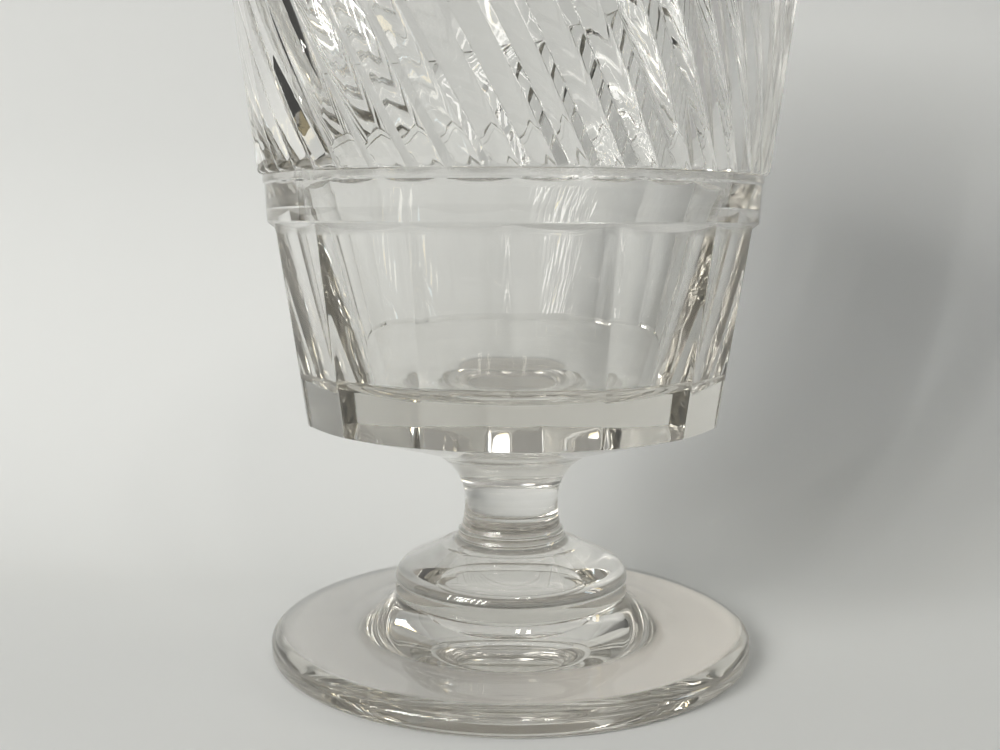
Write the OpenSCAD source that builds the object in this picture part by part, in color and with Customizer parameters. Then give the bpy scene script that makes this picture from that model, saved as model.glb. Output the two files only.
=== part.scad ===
// Rummer: a short-stemmed drinking glass of clear, thick, cut glass, in one piece.
// A thick round foot rises in a skirt to a round knop and a waisted stem. Above them is a
// bucket bowl:
// broad upright flat flutes, a plain band, a raised band of slanting cuts and a plain lip.
// Millimetres. The origin is the middle of the foot's underside, and +Z is up.
// The front of the glass faces -Y.

/* [Foot] */
// Diameter of the foot
foot_d = 78; // [68:1:90]
// Height of the foot's outer edge
edge_h = 3.9; // [3.4:0.1:4.5]
// Width of the long rounding of the foot's upper edge
edge_top_w = 4; // [2:0.2:6]
// Height of the long rounding of the foot's upper edge
edge_top_h = 1.8; // [1:0.1:2]
// Radius that rounds the foot's lower edge
edge_low_r = 1.1; // [0.6:0.1:1.3]
// Rise of the foot's top from its edge to the skirt
foot_rise = 0.3; // [0.1:0.1:1]
// Width of the flat ring that the glass stands on
rest_w = 3.6; // [2:0.2:8]
// Height of the hollow under the foot
hollow_h = 1.3; // [0.6:0.1:2]
// Diameter of the polished hollow at the middle of the underside
pontil_d = 19.2; // [12:0.4:24]
// Depth of the polished hollow
pontil_depth = 0.7; // [0.3:0.1:1.2]

/* [Skirt] */
// Diameter of the skirt under the knop where it runs out into the foot
skirt_d = 55; // [50:0.5:58]
// Height of the skirt
skirt_h = 4.5; // [3:0.1:6]
// Turn of the skirt's hollow curve from the foot up to the knop, in degrees
skirt_turn = 59; // [40:1:80]

/* [Knop] */
// Diameter of the knop
knop_d = 38; // [34:0.5:42]
// How far the knop stands out over the skirt below it
knop_lip = 0.5; // [0.2:0.1:1.2]
// Height of the knop's side
knop_side_h = 5; // [4:0.1:6]
// Radius that rounds the knop's upper edge
knop_edge_r = 3; // [1.5:0.1:3.6]
// Turn of that rounding before it runs into the dome, in degrees
knop_edge_turn = 63; // [50:1:75]
// Height of the knop's dome
dome_h = 2.6; // [2:0.1:4]
// Diameter of the knop's dome at its top
dome_top_d = 22.8; // [20:0.2:26]

/* [Stem] */
// Height of the cove between the dome and the stem's ring
cove_h = 2.4; // [2:0.1:4]
// Diameter of the stem at its low ring
ring_d = 17.3; // [16:0.1:19]
// Height of the ring above which the waist starts
waist_low_h = 5; // [3:0.1:8]
// Diameter of the stem at its waist
waist_d = 15.2; // [13:0.1:16]
// Height of the flare from the waist to the bowl
flare_h = 9.3; // [7:0.1:12]
// Width of the flare from the waist to the bowl
flare_w = 11; // [8:0.2:13]
// Turn of the flare before it runs into the bowl's underside, in degrees
flare_turn = 69; // [60:1:75]

/* [Flutes] */
// Number of flat flutes round the bowl
flute_n = 16; // [12:1:20]
// Height of the bowl's underside from the flare to the base edge
under_h = 5.3; // [3:0.1:8]
// Diameter of the bowl's base over the ridges between flutes
base_d = 67; // [62:0.5:72]
// Height of the flutes from the base edge to the plain band
flute_h = 30.7; // [24:0.1:36]
// Diameter over the ridges at the top of the flutes
flute_top_d = 76.2; // [75:0.1:78]
// Height of the bevel that ends the flutes
flute_bevel_h = 1.2; // [0.6:0.1:2]
// Turn that brings a ridge between flutes round to the front, in degrees
flute_turn = -0.6; // [-10:0.2:10]

/* [Plain band] */
// How far the plain band stands out from the ridges of the flutes
band_step = 0.3; // [0.1:0.1:0.6]
// Height of the plain band
band_h = 5.6; // [3:0.1:9]
// Lean of the plain band from upright, in degrees
band_lean = 2.6; // [0:0.1:6]
// Height of the thin ring under the slanting cuts
bead_h = 1.4; // [0.8:0.1:2.5]
// How far the thin ring stands out from the plain band
bead_step = 0.25; // [0.1:0.05:0.5]

/* [Slanting cuts] */
// Number of slanting cuts round the bowl
cut_n = 48; // [40:1:56]
// Height of the band of slanting cuts
cut_h = 36; // [24:0.5:44]
// How far the crests of the cuts stand out from the thin ring
crest_step = 0.75; // [0.5:0.05:1.2]
// Depth of each cut below its crests
cut_depth = 1.0; // [0.6:0.05:1.4]
// Lean of each cut from upright, in degrees
cut_lean = 28; // [15:1:40]
// Share of a cut's width that its long flank takes
long_flank = 0.7; // [0.55:0.01:0.8]
// How far the long flank swells out from flat
flank_bow = 0.12; // [0:0.01:0.14]
// Lean of the bowl's wall from upright along this band, in degrees
wall_lean = 7.2; // [3:0.1:10]
// Height over which the crests round off at each end of the band
shoulder_h = 1.5; // [0.8:0.1:2.5]
// Turn that sets where the cuts start, in degrees
cut_turn = 3; // [-8:0.5:8]

/* [Lip] */
// How far the lip is set back from the crests below it
lip_step = 1.2; // [1.1:0.05:1.6]
// Height of the plain lip
lip_h = 19.9; // [12:0.1:30]
// Lean of the lip from upright, in degrees
lip_lean = 5.8; // [0:0.1:10]
// Thickness of the wall at the rim, which is fully rounded
rim_wall = 2.3; // [1.6:0.1:3.2]

/* [Inside] */
// Thickness of the wall where the lip starts
lip_wall = 2.6; // [2:0.1:3.6]
// Thickness of the wall at the top of the flutes
flute_wall = 4.0; // [3:0.1:5]
// Thickness of the wall where the dished floor meets it
floor_wall = 8.4; // [6:0.1:9.5]
// Height of the lowest point of the floor above the base edge
floor_h = 5.2; // [3:0.1:7]
// Height of the dished floor, from its lowest point up to the wall
dish_h = 3; // [2:0.1:6]
// Turn of the dish's curve from its lowest point up to the wall, in degrees
dish_turn = 84; // [70:1:88]

/* [Hidden] */
$fn = 180;
glass_colour = [0.84, 0.86, 0.84, 0.55];

// Heights, stacked from the floor up
skirt_z = edge_h + foot_rise;
knop_z = skirt_z + skirt_h + knop_lip;
knop_top_z = knop_z + knop_side_h;
dome_top_z = knop_top_z + dome_h;
ring_z = dome_top_z + cove_h;
waist_z = ring_z + waist_low_h;
flare_z = waist_z + flare_h * sin(flare_turn);
base_z = flare_z + under_h;
floor_z = base_z + floor_h;
flute_top_z = base_z + flute_h;
band_top_z = flute_top_z + band_h;
cut_z = band_top_z + bead_h;
cut_top_z = cut_z + cut_h;
rim_z = cut_top_z + lip_h;

// Radii, from the foot up
foot_r = foot_d / 2;
rest_r = foot_r - edge_low_r - rest_w;
knop_r = knop_d / 2;
knop_under_r = knop_r - knop_lip;
flare_r = waist_d / 2 + flare_w * (1 - cos(flare_turn));
flat_share = cos(180 / flute_n);
base_r = base_d / 2;
flute_top_r = flute_top_d / 2;
band_low_r = flute_top_r + band_step;
band_top_r = band_low_r + band_h * tan(band_lean);
bead_r = band_top_r + bead_step;
crest_r = bead_r + crest_step;
crest_top_r = crest_r + cut_h * tan(wall_lean);
lip_r = crest_top_r - lip_step;
rim_r = lip_r + lip_h * tan(lip_lean);
rim_mid_r = rim_r - rim_wall / 2;

// Widths that only keep surfaces from lying on each other
clear = 0.1;
spare = 1;

// Turns of the rounds that stop short of level or upright, so that a crease shows
edge_turn = 88;
ring_turn = 8;

// Points on an ellipse's arc round (x, z), from angle a0 to a1
arc_step = 11;
function arc(x, z, rx, rz, a0, a1) =
    let (n = ceil(abs(a1 - a0) / arc_step))
    [for (i = [0 : n]) let (a = a0 + (a1 - a0) * i / n) [x + rx * cos(a), z + rz * sin(a)]];

// Foot, knop, stem and the bowl's underside, up to the blank that the flutes are cut from
blank_r = max(base_r, flute_top_r) + spare;
blank_z = base_z + (blank_r - base_r) * under_h / (base_r - flare_r);

function underside() = concat(
    arc(0, hollow_h, pontil_d / 2, pontil_depth, 90, 0),
    [[rest_r, 0]],
    arc(foot_r - edge_low_r, edge_low_r, edge_low_r, edge_low_r, -90, 0));

skirt_rx = (skirt_d / 2 - knop_under_r) / sin(skirt_turn);
skirt_rz = skirt_h / (1 - cos(skirt_turn));

function foot_top() = concat(
    arc(foot_r - edge_top_w, edge_h - edge_top_h, edge_top_w, edge_top_h, 0, edge_turn),
    arc(skirt_d / 2, skirt_z + skirt_rz, skirt_rx, skirt_rz, -90, -90 - skirt_turn));

function knop() = concat(
    [[knop_r, knop_z]],
    arc(knop_r - knop_edge_r, knop_top_z - knop_edge_r, knop_edge_r, knop_edge_r, 0, knop_edge_turn),
    arc(dome_top_d / 2, ring_z, (dome_top_d - ring_d) / 2, cove_h, -90, -180));

function stem() = concat(
    arc(ring_d / 2, waist_z, (ring_d - waist_d) / 2, waist_low_h, -90 - ring_turn, -180),
    arc(waist_d / 2 + flare_w, waist_z, flare_w, flare_h, 180, 180 - flare_turn));

module lower_body() {
    rotate_extrude()
        polygon(concat(underside(), foot_top(), knop(), stem(),
                       [[blank_r, blank_z], [blank_r, flute_top_z], [0, flute_top_z]]));
}

// One flat flute is cut by taking away all that lies outside its plane
function flat_r(z) = flat_share * (base_r + (flute_top_r - base_r) * (z - base_z) / flute_h);

module flute_cut() {
    low_z = base_z - under_h;
    top_z = flute_top_z + spare;
    side = blank_r + spare;
    rotate([90, 0, 0])
        linear_extrude(height = blank_r, center = true)
            polygon([[flat_r(low_z), low_z], [side, low_z], [side, top_z], [flat_r(top_z), top_z]]);
}

module fluted_body() {
    difference() {
        lower_body();
        for (i = [0 : flute_n - 1])
            rotate([0, 0, flute_turn - 90 + (i + 0.5) * 360 / flute_n])
                flute_cut();
    }
}

// Plain band with the bevel that ends the flutes below it and the thin ring above it
module plain_band() {
    bevel_z = flute_top_z - flute_bevel_h;
    bevel_r = flute_top_r * flat_share - band_step - clear;
    rotate_extrude()
        polygon([[0, bevel_z], [bevel_r, bevel_z], [band_low_r, flute_top_z], [band_top_r, band_top_z],
                 [bead_r, band_top_z + bead_step], [bead_r, cut_z], [0, cut_z]]);
}

// Slanting cuts. Each is an asymmetric V: from a crest a long, slightly swelling flank runs
// in to the valley, and a short flat flank runs back out to the next crest. u goes from 0
// at one crest to 1 at the next.
function long_part(along) = along - 4 * flank_bow / cut_depth * along * (1 - along);
function flank(u) = u < long_flank ? long_part(u / long_flank) : (1 - u) / (1 - long_flank);
function wall_r(z) = crest_r + (z - cut_z) * tan(wall_lean);
function cut_r(u, z) = wall_r(z) - cut_depth * flank(u);

// A path that keeps its lean on the conical wall has turned by this much at height z
function path_turn(z) = -tan(cut_lean) / tan(wall_lean) * ln(wall_r(z) / crest_r) * 180 / PI;

// At both ends a quarter round limits the crests: it starts from end_r at the band's end
// and reaches the wall at a height of shoulder_h from it. The flanks meet it along a
// scalloped line, which is end_rise(u) from the band's end.
function limit_r(rise, end_r, full_r) =
    rise <= 0 ? end_r
    : rise >= shoulder_h ? rim_r
    : end_r + (full_r - end_r) * sqrt(1 - pow(1 - rise / shoulder_h, 2));
function end_rise(u, end_r, full_r) =
    let (share = min(1, max(0, 1 - cut_depth * flank(u) / (full_r - end_r))))
    max(end_min, shoulder_h * (1 - sqrt(1 - share * share)));

low_end_r = bead_r - clear;
low_full_r = wall_r(cut_z + shoulder_h);
top_end_r = lip_r + clear;
top_full_r = wall_r(cut_top_z - shoulder_h);
end_min = 0.15;

function surface_r(u, z) =
    min(cut_r(u, z),
        limit_r(z - cut_z, low_end_r, low_full_r),
        limit_r(cut_top_z - z, top_end_r, top_full_r));

// Rings of points: one just inside the thin ring, a few through each quarter round and the
// rest along the cuts
end_rings = 3;
path_rings = 8;
ring_n = 1 + 2 * end_rings + path_rings;
function ring_z(u, k) =
    let (low = end_rise(u, low_end_r, low_full_r), top = end_rise(u, top_end_r, top_full_r),
         path_k = k - 1 - end_rings)
    k == 0 ? cut_z - clear
    : path_k <= 0 ? cut_z + low * (1 - cos(90 * (k - 1) / end_rings))
    : path_k >= path_rings ? cut_top_z - top * (1 - cos(90 * (ring_n - k) / end_rings))
    : cut_z + low + (cut_h - low - top) * path_k / path_rings;

// Columns of points across one cut: three parts to the long flank and two to the short one
us = [0, long_flank / 3, long_flank * 2 / 3, long_flank, (1 + long_flank) / 2];
column_n = cut_n * len(us);
function band_point(c, k) =
    let (u = us[c % len(us)], z = ring_z(u, k), r = surface_r(u, z),
         a = cut_turn - 90 + (floor(c / len(us)) + u) * 360 / cut_n + path_turn(z))
    [r * cos(a), r * sin(a), z];

module cut_band() {
    function at(c, k) = k * column_n + c % column_n;
    polyhedron(
        points = [for (k = [0 : ring_n], c = [0 : column_n - 1]) band_point(c, k)],
        faces = concat(
            [[for (c = [0 : column_n - 1]) at(c, 0)]],
            [[for (c = [column_n - 1 : -1 : 0]) at(c, ring_n)]],
            [for (k = [0 : ring_n - 1], c = [0 : column_n - 1])
                [at(c, k), at(c, k + 1), at(c + 1, k)]],
            [for (k = [0 : ring_n - 1], c = [0 : column_n - 1])
                [at(c + 1, k), at(c, k + 1), at(c + 1, k + 1)]]));
}

// Inside of the bowl: a dished floor under a wall that is a smooth curve through three
// thicknesses
low_in_z = floor_z + dish_h;
low_in_r = flat_r(low_in_z) - floor_wall;
mid_in_r = flat_r(flute_top_z) - flute_wall;
top_in_r = lip_r - lip_wall;
low_slope = (mid_in_r - low_in_r) / (flute_top_z - low_in_z);
top_slope = (top_in_r - mid_in_r) / (cut_top_z - flute_top_z);
bend = (top_slope - low_slope) / (cut_top_z - low_in_z);
function inner_r(z) = low_in_r + (z - low_in_z) * (low_slope + bend * (z - flute_top_z));

module cavity() {
    inner_n = 12;
    dish_rx = low_in_r / sin(dish_turn);
    dish_rz = dish_h / (1 - cos(dish_turn));
    wall_h = cut_top_z - low_in_z;
    rotate_extrude()
        polygon(concat(
            [[0, rim_z + spare]],
            arc(0, floor_z + dish_rz, dish_rx, dish_rz, -90, dish_turn - 90),
            [for (i = [1 : inner_n]) let (z = low_in_z + wall_h * i / inner_n) [inner_r(z), z]],
            arc(rim_mid_r, rim_z - rim_wall / 2, rim_wall / 2, rim_wall / 2, 180, 90),
            [[rim_mid_r, rim_z + spare]]));
}

// The lip grows out of the top of the band of cuts
module lip() {
    rotate_extrude()
        polygon(concat(
            [[0, cut_top_z - spare], [lip_r - spare * tan(lip_lean), cut_top_z - spare]],
            arc(rim_mid_r, rim_z - rim_wall / 2, rim_wall / 2, rim_wall / 2, 0, 90),
            [[0, rim_z]]));
}

module rummer() {
    color(glass_colour)
        difference() {
            union() {
                fluted_body();
                plain_band();
                cut_band();
                lip();
            }
            cavity();
        }
}

rummer();
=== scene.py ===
from math import atan2, cos, degrees, log, pi, radians, sin, sqrt, tan

import bmesh
import bpy
from mathutils import Matrix, Vector


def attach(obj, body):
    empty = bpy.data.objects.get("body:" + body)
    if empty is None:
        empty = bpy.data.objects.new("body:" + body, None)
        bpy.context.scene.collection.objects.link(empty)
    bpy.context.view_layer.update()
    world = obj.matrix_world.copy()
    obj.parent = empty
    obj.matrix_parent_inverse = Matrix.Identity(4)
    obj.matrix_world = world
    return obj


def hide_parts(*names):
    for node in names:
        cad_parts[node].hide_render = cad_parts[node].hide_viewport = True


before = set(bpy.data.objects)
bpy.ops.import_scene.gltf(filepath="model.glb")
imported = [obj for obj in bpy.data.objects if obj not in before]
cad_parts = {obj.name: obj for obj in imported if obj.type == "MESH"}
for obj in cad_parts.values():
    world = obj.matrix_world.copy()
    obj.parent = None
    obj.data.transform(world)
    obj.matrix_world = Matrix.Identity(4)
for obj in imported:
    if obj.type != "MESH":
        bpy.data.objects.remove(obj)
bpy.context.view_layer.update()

scene = bpy.context.scene
mm = 0.001


# Camera: where the photograph was taken from, a hand's width in front of the glass
cameraPlace = {
    "location": (-1.93, -190.8, 69.1),  # mm
    "pitch": 7.38,  # degrees below level
    "roll": 0.23,
    "lens": 42.84,  # mm
    "sensorW": 36,  # mm
    "clearFrom": 5,  # mm in front of it
}


def makeCamera(place):
    data = bpy.data.cameras.new("camera")
    data.lens = place["lens"]
    data.sensor_width = place["sensorW"]
    data.sensor_fit = "HORIZONTAL"
    data.clip_start = place["clearFrom"] * mm
    camera = bpy.data.objects.new("camera", data)
    scene.collection.objects.link(camera)
    pitch = Matrix.Rotation(radians(90 - place["pitch"]), 4, "X")
    roll = Matrix.Rotation(radians(place["roll"]), 4, "Z")
    camera.matrix_world = Matrix.Translation(Vector(place["location"]) * mm) @ pitch @ roll
    scene.camera = camera


makeCamera(cameraPlace)
print("camera placed")


# Rummer: one closed skin of glass, spun from its profile and then cut
rummer = {
    "columns": 432,  # round the axis: nine for each slanting cut, 27 for each flute
    # foot, with a flat ring to rest on and a polished hollow in the middle of its underside
    "footR": 39, "edgeH": 3.9, "edgeTopW": 4, "edgeTopH": 1.8, "edgeLowR": 1.1, "footRise": 0.3,
    "restW": 3.6, "hollowH": 1.3, "pontilR": 9.6, "pontilDepth": 0.7,
    "skirtR": 27.5, "skirtH": 4.5, "skirtTurn": 59,
    # knop and its dome
    "knopR": 19, "knopLip": 0.5, "knopSideH": 5.0, "knopEdgeR": 3, "knopEdgeTurn": 63,
    "domeH": 2.6, "domeTopR": 11.4,
    # stem, from the ring above the dome to the flare under the bowl
    "coveH": 2.4, "ringR": 8.65, "waistLowH": 5, "waistR": 7.6,
    "flareH": 9.3, "flareW": 11, "flareTurn": 69, "underH": 5.3,
    # flat flutes
    "baseR": 33.5, "fluteCount": 16, "fluteH": 30.7, "fluteTopR": 38.1, "fluteBevelH": 1.2, "fluteTurn": -0.6,
    # plain band and thin ring
    "bandStep": 0.3, "bandH": 5.6, "bandLean": 2.6, "beadH": 1.4, "beadStep": 0.25,
    # slanting cuts
    "cutCount": 48, "cutH": 36, "crestStep": 0.75, "cutDepth": 1.0, "cutLean": 28, "cutTurn": 3,
    "longFlank": 0.7, "flankBow": 0.12, "wallLean": 7.2, "shoulderH": 1.5,
    # lip and rim
    "lipStep": 1.2, "lipH": 19.9, "lipLean": 5.8, "rimWall": 2.3,
    # inside
    "lipWall": 2.6, "fluteWall": 4.0, "floorWall": 8.4, "floorH": 5.2, "dishH": 3, "dishTurn": 84,
    # finish
    "edgeEase": 0.12,  # how far the polishing has eased the sharp edges
    "sharpTurn": 16,  # degrees between faces from which an edge stays crisp
    "weldGap": 0.0005,  # points nearer than this are one
}


def arc(x, z, rx, rz, a0, a1, count):
    turns = [radians(a0 + (a1 - a0) * i / count) for i in range(count + 1)]
    return [(x + rx * cos(a), z + rz * sin(a)) for a in turns]


def line(p, q, count):
    return [(p[0] + (q[0] - p[0]) * i / count, p[1] + (q[1] - p[1]) * i / count) for i in range(count + 1)]


# Heights and radii that follow from the sizes, stacked from the floor up
size = dict(rummer)
size["skirtZ"] = size["edgeH"] + size["footRise"]
size["knopZ"] = size["skirtZ"] + size["skirtH"] + size["knopLip"]
size["knopTopZ"] = size["knopZ"] + size["knopSideH"]
size["domeTopZ"] = size["knopTopZ"] + size["domeH"]
size["ringZ"] = size["domeTopZ"] + size["coveH"]
size["waistZ"] = size["ringZ"] + size["waistLowH"]
size["flareZ"] = size["waistZ"] + size["flareH"] * sin(radians(size["flareTurn"]))
size["baseZ"] = size["flareZ"] + size["underH"]
size["floorZ"] = size["baseZ"] + size["floorH"]
size["fluteTopZ"] = size["baseZ"] + size["fluteH"]
size["bandTopZ"] = size["fluteTopZ"] + size["bandH"]
size["cutZ"] = size["bandTopZ"] + size["beadH"]
size["cutTopZ"] = size["cutZ"] + size["cutH"]
size["rimZ"] = size["cutTopZ"] + size["lipH"]
size["flareR"] = size["waistR"] + size["flareW"] * (1 - cos(radians(size["flareTurn"])))
size["flatShare"] = cos(pi / size["fluteCount"])
size["bandLowR"] = size["fluteTopR"] + size["bandStep"]
size["bandTopR"] = size["bandLowR"] + size["bandH"] * tan(radians(size["bandLean"]))
size["beadR"] = size["bandTopR"] + size["beadStep"]
size["crestR"] = size["beadR"] + size["crestStep"]
size["lipR"] = size["crestR"] + size["cutH"] * tan(radians(size["wallLean"])) - size["lipStep"]
size["rimR"] = size["lipR"] + size["lipH"] * tan(radians(size["lipLean"]))
size["bevelZ"] = size["fluteTopZ"] - size["fluteBevelH"]
size["bevelR"] = size["fluteTopR"] * size["flatShare"] - size["bandStep"] - 0.1

# The inside wall is a smooth curve through three thicknesses
fluteLean = (size["fluteTopR"] - size["baseR"]) / size["fluteH"]
lowInZ = size["floorZ"] + size["dishH"]
lowInR = size["flatShare"] * (size["baseR"] + fluteLean * (lowInZ - size["baseZ"])) - size["floorWall"]
midInR = size["flatShare"] * size["fluteTopR"] - size["fluteWall"]
topInR = size["lipR"] - size["lipWall"]
lowSlope = (midInR - lowInR) / (size["fluteTopZ"] - lowInZ)
topSlope = (topInR - midInR) / (size["cutTopZ"] - size["fluteTopZ"])
bend = (topSlope - lowSlope) / (size["cutTopZ"] - lowInZ)


def dishPoint(share):  # an elliptical arc from the axis up to the wall
    turn = radians(size["dishTurn"])
    rise = (1 - cos(turn * share)) / (1 - cos(turn))
    return lowInR * sin(turn * share) / sin(turn), size["floorZ"] + size["dishH"] * rise


def innerR(z):
    return lowInR + (z - lowInZ) * (lowSlope + bend * (z - size["fluteTopZ"]))


def wallR(z):
    return size["crestR"] + (z - size["cutZ"]) * tan(radians(size["wallLean"]))


def pathTurn(z):  # turn, in degrees, of a cut that keeps its lean on the conical wall
    pace = tan(radians(size["cutLean"])) / tan(radians(size["wallLean"]))
    return -degrees(pace * log(wallR(z) / size["crestR"]))


# Hand cutting left the flutes and cuts a little uneven: how far each ridge and valley
# strays from its even place, in degrees, from the front round to both sides
fluteStray = {-3: 0.8, -2: -0.6, -1: 1.5, 0: 0.1, 1: -1.2, 2: 2.4, 3: 0.6, 6: 1.0, 8: -0.8, 11: 0.7}
cutStray = {-6: -0.6, -5: -0.9, -4: -0.1, -3: 0.7, -2: 0.8, -1: 0.3, 0: 0, 1: -0.5, 2: -2.0, 3: -1.9,
            4: -1.6, 5: -0.8, 6: -0.6, 9: 0.6, 12: -0.7, 15: 0.5, 19: -0.6, 24: 0.8, 29: -0.5}


def strayed(stray, index, count):
    index %= count
    return stray.get(index, stray.get(index - count, 0))


def columnTurn(column, count, start, stray, shares):
    # angle of a column where every pattern has len(shares) columns at the given shares of its width
    group, place = divmod(column, len(shares))
    low = start + 360 * group / count + strayed(stray, group, count)
    high = start + 360 * (group + 1) / count + strayed(stray, group + 1, count)
    return low + (high - low) * shares[place], low, high


# shares of a width that the eased edges take up, and where the columns stand across a flute and a cut
fluteEase, fluteFlat, cutEase = 0.012, 0.976, 0.035
fluteShares = [0] + [fluteEase + fluteFlat * i / 25 for i in range(26)]
cutShares = [0, cutEase, 0.18, 0.34, 0.52, size["longFlank"] - cutEase, size["longFlank"],
             size["longFlank"] + cutEase, 1 - cutEase]


def flankDepth(share):  # depth of a slanting cut across its width, with eased crest and valley
    if share in (0, 1):
        return size["edgeEase"] * 0.35
    if share == size["longFlank"]:
        return 1 - size["edgeEase"] * 0.35
    if share > size["longFlank"]:
        return (1 - share) / (1 - size["longFlank"])
    along = share / size["longFlank"]
    return along - size["flankBow"] / size["cutDepth"] * 4 * along * (1 - along)


def limitR(rise, endR, fullR):  # quarter round that rounds off the crests at an end of the band
    if rise >= size["shoulderH"]:
        return size["rimR"]
    return endR + (fullR - endR) * sqrt(1 - (1 - max(0, rise) / size["shoulderH"]) ** 2)


def endRise(share, endR, fullR):
    left = min(1, max(0, 1 - size["cutDepth"] * flankDepth(share) / (fullR - endR)))
    return max(0.15, size["shoulderH"] * (1 - sqrt(1 - left * left)))


# Stations along the profile: (r, z) for a plain ring, or a name and how far along it is
def stemProfile():
    low = [(0.0, size["hollowH"] + size["pontilDepth"])]
    low += arc(0, size["hollowH"], size["pontilR"], size["pontilDepth"], 90, 0, 7)[1:]
    restR = size["footR"] - size["edgeLowR"] - size["restW"]
    low += line((size["pontilR"], size["hollowH"]), (restR, 0), 4)[1:]
    lowR = size["edgeLowR"]
    low += arc(size["footR"] - lowR, lowR, lowR, lowR, -90, 0, 7)
    low += arc(size["footR"] - size["edgeTopW"], size["edgeH"] - size["edgeTopH"],
               size["edgeTopW"], size["edgeTopH"], 0, 88, 14)
    underR = size["knopR"] - size["knopLip"]
    skirtRx = (size["skirtR"] - underR) / sin(radians(size["skirtTurn"]))
    skirtRz = size["skirtH"] / (1 - cos(radians(size["skirtTurn"])))
    skirt = arc(size["skirtR"], size["skirtZ"] + skirtRz, skirtRx, skirtRz, -90, -90 - size["skirtTurn"], 16)
    low += line(low[-1], skirt[0], 4)[1:-1] + skirt + [(size["knopR"] - 0.15, size["knopZ"] - 0.1)]
    edge = arc(size["knopR"] - size["knopEdgeR"], size["knopTopZ"] - size["knopEdgeR"],
               size["knopEdgeR"], size["knopEdgeR"], 0, size["knopEdgeTurn"], 12)
    low += line((size["knopR"], size["knopZ"] + 0.12), edge[0], 2) + edge[1:]
    dome = (size["domeTopR"], size["domeTopZ"])
    low += line(edge[-1], dome, 8)[1:]
    low += arc(dome[0], size["ringZ"], dome[0] - size["ringR"], size["coveH"], -90, -180, 8)[1:]
    low += arc(size["ringR"], size["waistZ"], size["ringR"] - size["waistR"], size["waistLowH"], -98, -180, 9)
    low += arc(size["waistR"] + size["flareW"], size["waistZ"], size["flareW"], size["flareH"],
               180, 180 - size["flareTurn"], 16)[1:]
    return low


def bowlProfile():
    e = size["edgeEase"]
    stations = [("under", i / 6) for i in range(1, 6)] + [("under", 0.985)]
    stations += [("flute", 0), ("flute", 0.012)] + [("flute", i / 12) for i in range(1, 13)]
    stations += [(size["bandLowR"] - e, size["fluteTopZ"] - e), (size["bandLowR"], size["fluteTopZ"] + e)]
    stations += line((size["bandLowR"], size["fluteTopZ"]), (size["bandTopR"], size["bandTopZ"]), 3)[1:]
    stations += [(size["beadR"] - e * 0.5, size["bandTopZ"] + size["beadStep"] * 0.8),
                 (size["beadR"], size["bandTopZ"] + size["beadStep"] + e)]
    stations += [(size["beadR"], size["cutZ"] - e), (size["beadR"] - e, size["cutZ"])]
    stations += [("cutLow", i / 4) for i in range(5)] + [("cut", i / 30) for i in range(1, 30)]
    stations += [("cutTop", 1 - i / 4) for i in range(5)]
    stations += [(size["lipR"], size["cutTopZ"])]
    half = size["rimWall"] / 2
    rim = arc(size["rimR"] - half, size["rimZ"] - half, half, half, 0, 180, 12)
    stations += line((size["lipR"], size["cutTopZ"]), rim[0], 4)[1:] + rim[1:]
    stations += line(rim[-1], (topInR, size["cutTopZ"]), 3)[1:]
    down = [size["cutTopZ"] + (lowInZ - size["cutTopZ"]) * i / 12 for i in range(1, 13)]
    return stations + [(innerR(z), z) for z in down] + [dishPoint(1 - i / 18) for i in range(1, 19)]


def columnFacts(column):
    flute, fLow, fHigh = columnTurn(column, size["fluteCount"], size["fluteTurn"], fluteStray, fluteShares)
    half, off = radians(fHigh - fLow) / 2, radians(flute - (fLow + fHigh) / 2)
    flat = cos(half) / cos(off)  # how far the flat of the flute is, against its ridges
    if column % len(fluteShares) == 0:
        flat -= size["edgeEase"] * 0.25 / size["fluteTopR"]
    cut, _, _ = columnTurn(column, size["cutCount"], size["cutTurn"], cutStray, cutShares)
    return flute, flat, cut, cutShares[column % len(cutShares)]


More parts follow.
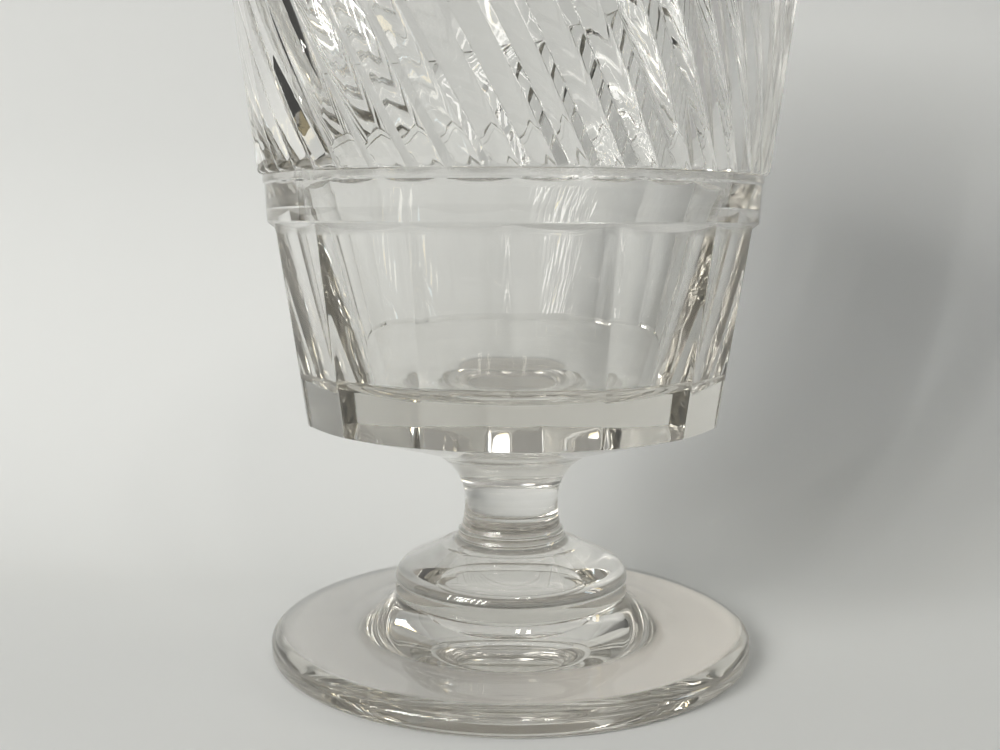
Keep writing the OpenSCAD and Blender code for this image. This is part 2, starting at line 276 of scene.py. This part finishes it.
def placeRing(station, facts):
    # where a station of the profile lies on one column, as radius, height and turn in degrees
    flute, flat, cut, share = facts
    kind, along = station
    if not isinstance(kind, str):
        z = along
        if z < size["fluteTopZ"] - 1:
            return kind, z, flute
        if z >= size["cutTopZ"] - 0.5:
            return kind, z, cut + pathTurn(size["cutTopZ"])
        blend = min(1, max(0, (z - size["fluteTopZ"]) / (size["cutZ"] - size["fluteTopZ"])))
        return kind, z, flute + (cut - flute) * blend
    spread = (size["baseR"] - size["flareR"]) / size["underH"]
    baseZ = ((flat * (size["baseR"] - fluteLean * size["baseZ"]) - size["flareR"] + spread * size["flareZ"])
             / (spread - flat * fluteLean))
    if kind == "under":
        z = size["flareZ"] + (baseZ - size["flareZ"]) * along
        return size["flareR"] + (z - size["flareZ"]) * spread, z, flute
    if kind == "flute":
        bevel = (size["bandLowR"] - size["bevelR"]) / size["fluteBevelH"]
        topZ = ((flat * (size["baseR"] - fluteLean * size["baseZ"]) - size["bevelR"] + bevel * size["bevelZ"])
                / (bevel - flat * fluteLean))
        z = baseZ + (topZ - baseZ) * along
        r = flat * (size["baseR"] + fluteLean * (z - size["baseZ"]))
        if along == 0:
            r -= size["edgeEase"] * 0.3
        return r, z, flute
    lowEnd, lowFull = size["beadR"] - 0.1, wallR(size["cutZ"] + size["shoulderH"])
    topEnd, topFull = size["lipR"] + 0.1, wallR(size["cutTopZ"] - size["shoulderH"])
    lowRise, topRise = endRise(share, lowEnd, lowFull), endRise(share, topEnd, topFull)
    if kind == "cutLow":
        z = size["cutZ"] + lowRise * (1 - cos(pi / 2 * along))
    elif kind == "cutTop":
        z = size["cutTopZ"] - topRise * (1 - cos(pi / 2 * along))
    else:
        z = size["cutZ"] + lowRise + (size["cutH"] - lowRise - topRise) * along
    r = min(wallR(z) - size["cutDepth"] * flankDepth(share), limitR(z - size["cutZ"], lowEnd, lowFull),
            limitR(size["cutTopZ"] - z, topEnd, topFull))
    return r, z, cut + pathTurn(z)


def makeRummer():
    stations = stemProfile() + bowlProfile()
    bm = bmesh.new()
    stationOf = bm.verts.layers.int.new("station")
    chain = []
    for i, (r, z) in enumerate(stations):
        # stations that are cut later only need places of their own for now
        v = bm.verts.new((30 + 0.01 * i, 0, 40 + 0.2 * i) if isinstance(r, str) else (r, 0, z))
        v[stationOf] = i
        if chain:
            bm.edges.new((chain[-1], v))
        chain.append(v)
    bmesh.ops.spin(bm, geom=chain + bm.edges[:], axis=(0, 0, 1), cent=(0, 0, 0), angle=2 * pi,
                   steps=size["columns"], use_merge=True, use_duplicate=False)
    facts = [columnFacts(column) for column in range(size["columns"])]
    for v in bm.verts:
        if v.co.xy.length < 2 * size["weldGap"]:  # the points on the axis stay there
            continue
        column = round(atan2(v.co.y, v.co.x) / (2 * pi) * size["columns"]) % size["columns"]
        r, z, turn = placeRing(stations[v[stationOf]], facts[column])
        a = radians(turn - 90)
        v.co = (r * cos(a), r * sin(a), z)
    bmesh.ops.remove_doubles(bm, verts=bm.verts, dist=size["weldGap"])
    bmesh.ops.transform(bm, matrix=Matrix.Scale(mm, 4), verts=bm.verts)
    bmesh.ops.recalc_face_normals(bm, faces=bm.faces)
    mesh = bpy.data.meshes.new("cutGlass")
    bm.to_mesh(mesh)
    bm.free()
    mesh.shade_smooth()
    mesh.set_sharp_from_angle(angle=radians(size["sharpTurn"]))
    glass = bpy.data.objects.new("cutGlass", mesh)
    scene.collection.objects.link(glass)
    return glass


glass = makeRummer()
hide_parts("rummer")
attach(glass, "root")
print("rummer cut:", len(glass.data.vertices), "points")


# Clear lead glass
leadGlass = {
    "tint": (0.985, 0.985, 0.98, 1),
    "depthColour": (0.5, 0.47, 0.39, 1),  # warm grey where the glass is thick
    "depthDensity": 11,
    "ior": 1.56,
    # where hand cutting and long use have left the polish softer: height in mm, roughness
    "polish": [(0, 0), (67.2, 0), (67.7, 0.25), (68.7, 0.25), (69.2, 0),
               (74.6, 0), (75, 0.1), (75.9, 0.1), (76.8, 0)],
    "waveScale": 90,  # polishing waves, per metre
    "waveDepth": 0.00002,
}


def makeLeadGlass(look):
    material = bpy.data.materials.new("leadGlass")
    material.use_nodes = True
    nodes, links = material.node_tree.nodes, material.node_tree.links
    shader = nodes["Principled BSDF"]
    shader.inputs["Base Color"].default_value = look["tint"]
    shader.inputs["IOR"].default_value = look["ior"]
    shader.inputs["Transmission Weight"].default_value = 1
    place = nodes.new("ShaderNodeTexCoord")
    wave = nodes.new("ShaderNodeTexNoise")
    wave.inputs["Scale"].default_value = look["waveScale"]
    wave.inputs["Detail"].default_value = 1
    links.new(place.outputs["Object"], wave.inputs["Vector"])
    bump = nodes.new("ShaderNodeBump")
    bump.inputs["Distance"].default_value = look["waveDepth"]
    links.new(wave.outputs["Fac"], bump.inputs["Height"])
    links.new(bump.outputs["Normal"], shader.inputs["Normal"])
    parts = nodes.new("ShaderNodeSeparateXYZ")
    links.new(place.outputs["Object"], parts.inputs["Vector"])
    top = look["polish"][-1][0]
    share = nodes.new("ShaderNodeMath")
    share.operation = "DIVIDE"
    share.inputs[1].default_value = top * mm
    links.new(parts.outputs["Z"], share.inputs[0])
    polish = nodes.new("ShaderNodeValToRGB")
    stops = polish.color_ramp.elements
    while len(stops) < len(look["polish"]):
        stops.new(1)
    for stop, (z, value) in zip(stops, look["polish"]):
        stop.position = z / top
        stop.color = (value, value, value, 1)
    links.new(share.outputs["Value"], polish.inputs["Fac"])
    links.new(polish.outputs["Color"], shader.inputs["Roughness"])
    depth = nodes.new("ShaderNodeVolumeAbsorption")
    depth.inputs["Color"].default_value = look["depthColour"]
    depth.inputs["Density"].default_value = look["depthDensity"]
    links.new(depth.outputs["Volume"], nodes["Material Output"].inputs["Volume"])
    return material


glass.data.materials.append(makeLeadGlass(leadGlass))


# Stage: a pale sweep that is floor and backdrop in one, with painted light under the foot
sweep = {
    "colour": (0.735, 0.75, 0.75, 1),
    # painted light: a paler colour and a painted glow under the foot stand in for light the glass passes onto
    # the floor
    "paintedLightColour": (0.87, 0.86, 0.84, 1), "paintedGlowColour": (1, 0.9, 0.76, 1), "paintedPoolR": 37.4, "paintedGlowStrength": 0.3,
    "width": 760, "front": -130, "bendY": 30, "bendR": 90, "top": 420,  # mm
    "drop": 0.05,  # air under the foot
    "roughness": 0.8,
}


def makeSweep(sizes):
    bm = bmesh.new()
    side = -sizes["width"] / 2
    points = [(side, sizes["front"], -sizes["drop"])]
    bend = arc(sizes["bendY"], sizes["bendR"] - sizes["drop"], sizes["bendR"], sizes["bendR"], -90, 0, 48)
    points += [(side, y, z) for y, z in bend]
    points.append((side, sizes["bendY"] + sizes["bendR"], sizes["top"]))
    chain = [bm.verts.new(p) for p in points]
    edges = [bm.edges.new(pair) for pair in zip(chain, chain[1:])]
    made = bmesh.ops.extrude_edge_only(bm, edges=edges)["geom"]
    farSide = [v for v in made if isinstance(v, bmesh.types.BMVert)]
    bmesh.ops.translate(bm, vec=(sizes["width"], 0, 0), verts=farSide)
    bmesh.ops.transform(bm, matrix=Matrix.Scale(mm, 4), verts=bm.verts)
    bmesh.ops.recalc_face_normals(bm, faces=bm.faces)
    if sum(face.normal.z for face in bm.faces) < 0:
        bmesh.ops.reverse_faces(bm, faces=bm.faces)
    mesh = bpy.data.meshes.new("sweep")
    bm.to_mesh(mesh)
    bm.free()
    mesh.shade_smooth()
    stage = bpy.data.objects.new("sweep", mesh)
    scene.collection.objects.link(stage)
    material = bpy.data.materials.new("paleSweep")
    material.use_nodes = True
    shader = material.node_tree.nodes["Principled BSDF"]
    shader.inputs["Roughness"].default_value = sizes["roughness"]
    nodes, links = material.node_tree.nodes, material.node_tree.links
    place = nodes.new("ShaderNodeTexCoord")
    away = nodes.new("ShaderNodeVectorMath")
    away.operation = "LENGTH"
    links.new(place.outputs["Object"], away.inputs[0])
    # painted light: the floor is paler inside the foot's circle, standing in for light passed through the
    # glass
    paintedPoolMask = nodes.new("ShaderNodeMapRange")
    paintedPoolMask.inputs["From Min"].default_value = (sizes["paintedPoolR"] - 1) * mm
    paintedPoolMask.inputs["From Max"].default_value = sizes["paintedPoolR"] * mm
    links.new(away.outputs["Value"], paintedPoolMask.inputs["Value"])
    mix = nodes.new("ShaderNodeMix")
    mix.data_type = "RGBA"
    mix.inputs[6].default_value = sizes["paintedLightColour"]
    mix.inputs[7].default_value = sizes["colour"]
    links.new(paintedPoolMask.outputs["Result"], mix.inputs["Factor"])
    links.new(mix.outputs[2], shader.inputs["Base Color"])
    # painted glow: the floor under the foot glows, standing in for light the glass focuses there, stronger
    # towards +X, away from the window
    parts = nodes.new("ShaderNodeSeparateXYZ")
    links.new(place.outputs["Object"], parts.inputs["Vector"])
    paintedGlow = nodes.new("ShaderNodeMapRange")
    paintedGlow.inputs["From Min"].default_value = -10 * mm
    paintedGlow.inputs["From Max"].default_value = sizes["paintedPoolR"] * mm
    paintedGlow.inputs["To Max"].default_value = sizes["paintedGlowStrength"]
    links.new(parts.outputs["X"], paintedGlow.inputs["Value"])
    inside = nodes.new("ShaderNodeMath")
    inside.operation = "LESS_THAN"
    inside.inputs[1].default_value = sizes["paintedPoolR"] * mm
    links.new(away.outputs["Value"], inside.inputs[0])
    paintedGlowAmount = nodes.new("ShaderNodeMath")
    paintedGlowAmount.operation = "MULTIPLY"
    links.new(paintedGlow.outputs["Result"], paintedGlowAmount.inputs[0])
    links.new(inside.outputs["Value"], paintedGlowAmount.inputs[1])
    shader.inputs["Emission Color"].default_value = sizes["paintedGlowColour"]
    links.new(paintedGlowAmount.outputs["Value"], shader.inputs["Emission Strength"])
    # clear from behind, so that the back of the glass can be looked at
    facing = nodes.new("ShaderNodeNewGeometry")
    clear = nodes.new("ShaderNodeBsdfTransparent")
    oneSided = nodes.new("ShaderNodeMixShader")
    links.new(facing.outputs["Backfacing"], oneSided.inputs["Fac"])
    links.new(shader.outputs["BSDF"], oneSided.inputs[1])
    links.new(clear.outputs["BSDF"], oneSided.inputs[2])
    links.new(oneSided.outputs["Shader"], nodes["Material Output"].inputs["Surface"])
    material.use_transparent_shadow = False  # every lamp stands in front of it
    mesh.materials.append(material)
    return stage


makeSweep(sweep)
print("stage made")


# Lights
plain, amber, blue = (1, 1, 1), (1, 0.85, 0.5), (0.6, 0.8, 1)  # the tinted panes stand for prism colours
lamps = {
    # tall panes, each (shift to its right, width, tint), with a softer light between them
    "window": {
        "at": (-850, -955, 615), "aim": (0, 0, 75), "height": 610, "power": 16.3, "colour": (1, 0.985, 0.95),
        "panes": [(330, 26, plain), (200, 30, plain), (52, 26, plain), (30, 8, amber), (-78, 38, plain),
                  (-156, 31, plain), (-218, 26, plain), (-287, 30, plain), (-365, 17, plain),
                  (-557, 23, plain)],
        "between": (870, 2.2),  # width and power
    },
    "overhead": {
        "at": (-290, -95, 900), "aim": (0, 0, 40), "height": 200, "power": 0.38, "colour": (1, 0.99, 0.96),
        "panes": [(-128, 24, amber), (0, 220, plain), (128, 24, blue)],
    },
    "skylight": {
        "at": (150, -520, 860), "aim": (0, 0, 40), "height": 110, "power": 0.7, "colour": (1, 0.97, 0.9),
        "panes": [(-70, 56, plain), (70, 56, plain)],
    },
    "sideWindow": {
        "at": (870, 60, 430), "aim": (0, 0, 40), "height": 300, "power": 1.2, "colour": (1, 0.97, 0.9),
        "panes": [(-110, 50, blue), (-50, 60, plain), (50, 60, plain), (110, 50, amber)],
    },
}


def addLamp(name, lamp, width, power, tint, shift, back):
    data = bpy.data.lights.new(name, "AREA")
    data.shape = "RECTANGLE"
    data.size, data.size_y = width * mm, lamp["height"] * mm
    data.energy = power
    data.color = [a * b for a, b in zip(lamp["colour"], tint)]
    light = bpy.data.objects.new(name, data)
    scene.collection.objects.link(light)
    at = Vector(lamp["at"]) * mm
    aim = (Vector(lamp["aim"]) * mm - at).to_track_quat("-Z", "Y").to_matrix().to_4x4()
    light.matrix_world = Matrix.Translation(at) @ aim @ Matrix.Translation((shift * mm, 0, back * mm))


def makeLamps(windows):
    for name, lamp in windows.items():
        whole = sum(width for shift, width, tint in lamp["panes"])
        for i, (shift, width, tint) in enumerate(lamp["panes"]):
            addLamp(name + str(i), lamp, width, lamp["power"] * width / whole, tint, shift, 0)
        if "between" in lamp:
            width, power = lamp["between"]
            addLamp(name + "Between", lamp, width, power, plain, 0, 5)  # just behind the panes


makeLamps(lamps)

# Room: a pale ceiling over darker walls, which the glass shows in its facets
room = {"ceiling": (0.42, 0.415, 0.4, 1), "walls": (0.05, 0.05, 0.048, 1), "wallTop": 0.2, "ceilingFrom": 0.8,
        "sideFrom": 0.3, "sideShare": 1.6,  # the right-hand wall is paler
        "ambient": 0.18}  # share of it that lights the stage


def makeRoom(look):
    world = bpy.data.worlds.new("room")
    scene.world = world
    world.use_nodes = True
    nodes, links = world.node_tree.nodes, world.node_tree.links
    way = nodes.new("ShaderNodeTexCoord")
    parts = nodes.new("ShaderNodeSeparateXYZ")
    links.new(way.outputs["Generated"], parts.inputs["Vector"])
    rise = nodes.new("ShaderNodeMapRange")
    rise.interpolation_type = "SMOOTHSTEP"
    rise.inputs["From Min"].default_value = look["wallTop"]
    rise.inputs["From Max"].default_value = look["ceilingFrom"]
    links.new(parts.outputs["Z"], rise.inputs["Value"])
    mix = nodes.new("ShaderNodeMix")
    mix.data_type = "RGBA"
    mix.inputs[6].default_value = look["walls"]
    mix.inputs[7].default_value = look["ceiling"]
    side = nodes.new("ShaderNodeMapRange")
    side.inputs["From Min"].default_value = look["sideFrom"]
    side.inputs["To Max"].default_value = look["sideShare"]
    links.new(parts.outputs["X"], side.inputs["Value"])
    most = nodes.new("ShaderNodeMath")
    most.operation = "MAXIMUM"
    links.new(rise.outputs["Result"], most.inputs[0])
    links.new(side.outputs["Result"], most.inputs[1])
    links.new(most.outputs["Value"], mix.inputs["Factor"])
    links.new(mix.outputs[2], nodes["Background"].inputs["Color"])
    ray = nodes.new("ShaderNodeLightPath")
    strength = nodes.new("ShaderNodeMapRange")
    strength.inputs["To Min"].default_value = 1
    strength.inputs["To Max"].default_value = look["ambient"]
    links.new(ray.outputs["Is Diffuse Ray"], strength.inputs["Value"])
    links.new(strength.outputs["Result"], nodes["Background"].inputs["Strength"])


makeRoom(room)

scene.view_settings.view_transform = "Standard"
facetBounces = 28  # light is passed on many times between the facets
scene.cycles.max_bounces = facetBounces
scene.cycles.diffuse_bounces = 2  # between floor and backdrop
scene.cycles.transmission_bounces = facetBounces
scene.cycles.glossy_bounces = facetBounces
print("lights set")
